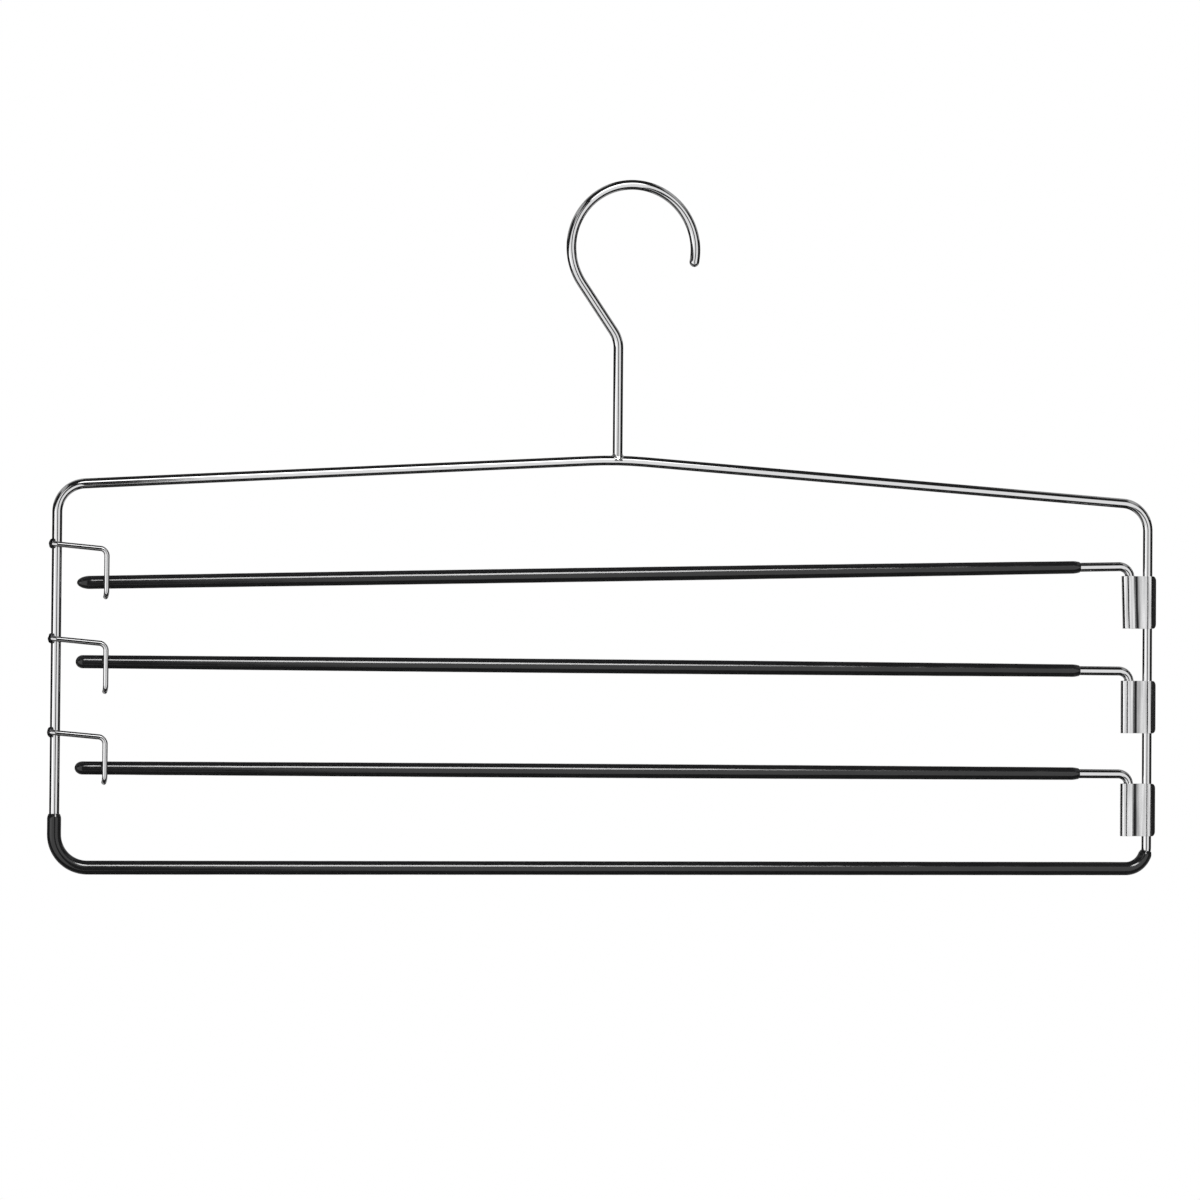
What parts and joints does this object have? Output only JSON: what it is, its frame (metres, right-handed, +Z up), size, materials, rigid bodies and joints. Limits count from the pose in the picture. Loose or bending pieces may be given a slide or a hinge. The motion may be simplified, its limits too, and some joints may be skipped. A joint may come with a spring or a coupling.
{
  "type": "multi-tier trouser hanger",
  "caption": "Chromed wire hanger with a round hook, a closed frame with a coated bottom bar, and coated arms in tiers that swing out on one post and rest behind wire latches.",
  "frame": {"origin": "the hook's inner top, where it rests on a rail", "axes": "+X along the bars from the latches to the hinges, +Y to the rear, where the arms swing, +Z up"},
  "size_m": [0.3861, 0.0069, 0.2357],
  "materials": {
    "chromed_wire": "bright chrome on drawn steel wire",
    "plated_sheet": "plated sheet with faint rolling streaks",
    "black_coat": "dipped soft plastic, half gloss"
  },
  "bodies": {
    "frame": {"frame_wire": "chromed_wire", "hook": "chromed_wire", "bottom_bar_sleeve": "black_coat", "upper_latch": "chromed_wire", "middle_latch": "chromed_wire", "lower_latch": "chromed_wire"},
    "upper_arm": {"upper_arm_wire": "chromed_wire", "upper_arm_sleeve": "black_coat", "upper_hinge_clip": "plated_sheet"},
    "middle_arm": {"middle_arm_wire": "chromed_wire", "middle_arm_sleeve": "black_coat", "middle_hinge_clip": "plated_sheet"},
    "lower_arm": {"lower_arm_wire": "chromed_wire", "lower_arm_sleeve": "black_coat", "lower_hinge_clip": "plated_sheet"}
  },
  "joints": [
    {"name": "upper_arm_swing", "type": "hinge", "parent": "frame", "child": "upper_arm", "pos_m": [0.18495, 0, -0.12517], "axis": [0, 0, -1], "range_deg": [0, 180]},
    {"name": "middle_arm_swing", "type": "hinge", "parent": "frame", "child": "middle_arm", "pos_m": [0.18495, 0, -0.16147], "axis": [0, 0, -1], "range_deg": [0, 180]},
    {"name": "lower_arm_swing", "type": "hinge", "parent": "frame", "child": "lower_arm", "pos_m": [0.18495, 0, -0.19712], "axis": [0, 0, -1], "range_deg": [0, 180]}
  ]
}
